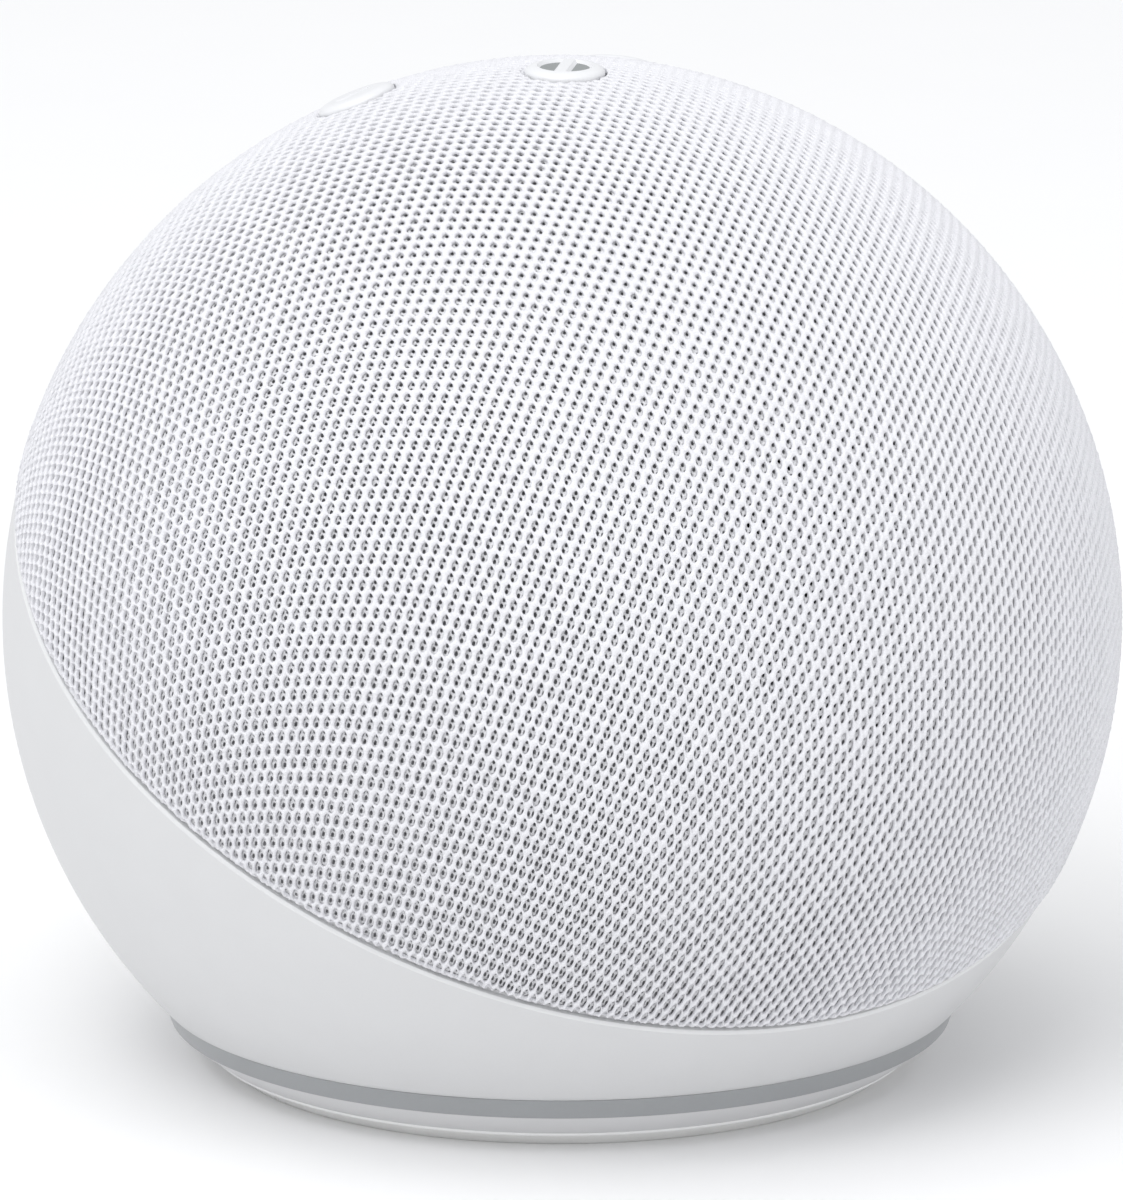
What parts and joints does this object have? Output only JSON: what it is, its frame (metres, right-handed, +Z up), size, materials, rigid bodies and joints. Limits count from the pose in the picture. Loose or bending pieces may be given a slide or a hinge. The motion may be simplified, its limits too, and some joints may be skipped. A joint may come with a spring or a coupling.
{
  "type": "smart speaker",
  "caption": "Ball-shaped tabletop smart speaker with a knitted fabric dome, plastic rear housing, light ring, flat foot, round press buttons and a rear recess for power and audio plugs.",
  "frame": {"origin": "middle of the foot's underside, on the table", "axes": "+Z up; the speaker faces -Y, its ports face +Y, and +X is on its left as it faces out"},
  "size_m": [0.1, 0.0996, 0.0905],
  "materials": {
    "fabric": "knitted polyester, matt",
    "dark_shell": "moulded, matt",
    "housing_white": "fine matt mould texture",
    "diffuser": "translucent, satin",
    "clear_guide": "clear acrylic",
    "board_white": "white solder mask",
    "base_grey": "satin",
    "foot_rubber": "soft matt",
    "button_white": "satin",
    "silicone": "matt silicone",
    "circuit_board": "green solder mask",
    "steel": "plated",
    "gold_contact": "gold plated",
    "heat_sink_metal": "stamped",
    "black_rubber": "matt",
    "red_rubber": "satin sleeve",
    "ferrite": "ground",
    "copper": "enamelled copper wire",
    "cone_paper": "pressed paper",
    "spider_cloth": "resin-dipped cloth",
    "jack_black": "moulded"
  },
  "bodies": {
    "speaker_body": {"fabric_cover": "fabric", "grille_shell": "dark_shell", "front_baffle": "dark_shell", "speaker_enclosure": "dark_shell", "chassis_ring": "dark_shell", "rear_housing": "housing_white", "light_ring": "diffuser", "light_guide": "clear_guide", "light_board": "board_white", "top_ribbon": "board_white", "lamp_ribbon": "board_white", "base_cover": "base_grey", "rubber_foot": "foot_rubber", "keypad": "silicone", "top_board": "circuit_board", "main_board": "circuit_board", "button_switch_1": "steel", "button_switch_2": "steel", "button_switch_3": "steel", "button_switch_4": "steel", "base_screw_1": "steel", "base_screw_2": "steel", "base_screw_3": "steel", "base_screw_4": "steel", "driver_screw_1": "steel", "driver_screw_2": "steel", "driver_screw_3": "steel", "driver_screw_4": "steel", "board_screw_1": "steel", "board_screw_2": "steel", "driver_basket": "steel", "driver_top_plate": "steel", "driver_yoke": "steel", "shield_can": "steel", "power_jack_pin": "steel", "microphone_1": "gold_contact", "microphone_2": "gold_contact", "microphone_3": "gold_contact", "microphone_4": "gold_contact", "antenna_left": "gold_contact", "antenna_right": "gold_contact", "heat_sink": "heat_sink_metal", "driver_gasket": "black_rubber", "surround": "black_rubber", "speaker_lead_black": "black_rubber", "speaker_lead_red": "red_rubber", "driver_magnet": "ferrite", "spider": "spider_cloth", "processor": "jack_black", "power_jack": "jack_black", "audio_jack": "jack_black"},
    "cone_assembly": {"cone": "cone_paper", "dust_cap": "cone_paper", "voice_coil": "copper"},
    "mute_button_body": {"mute_button": "button_white"},
    "volume_up_button_body": {"volume_up_button": "button_white"},
    "action_button_body": {"action_button": "button_white"},
    "volume_down_button_body": {"volume_down_button": "button_white"}
  },
  "joints": [
    {"name": "mute_press", "type": "slide", "parent": "speaker_body", "child": "mute_button_body", "axis": [0.019, 0.0412, -0.999], "range_m": [0, 0.0005], "stiffness_N_per_m": 1000},
    {"name": "volume_up_press", "type": "slide", "parent": "speaker_body", "child": "volume_up_button_body", "axis": [-0.2716, -0.2045, -0.9404], "range_m": [0, 0.0005], "stiffness_N_per_m": 1000},
    {"name": "action_press", "type": "slide", "parent": "speaker_body", "child": "action_button_body", "axis": [-0.019, -0.4872, -0.8731], "range_m": [0, 0.0005], "stiffness_N_per_m": 1000},
    {"name": "volume_down_press", "type": "slide", "parent": "speaker_body", "child": "volume_down_button_body", "axis": [0.2716, -0.2415, -0.9316], "range_m": [0, 0.0005], "stiffness_N_per_m": 1000},
    {"name": "cone_excursion", "type": "slide", "parent": "speaker_body", "child": "cone_assembly", "axis": [0, -0.9659, 0.2588], "range_m": [-0.0015, 0.0015], "stiffness_N_per_m": 1500, "deforming": ["surround", "spider"]}
  ]
}
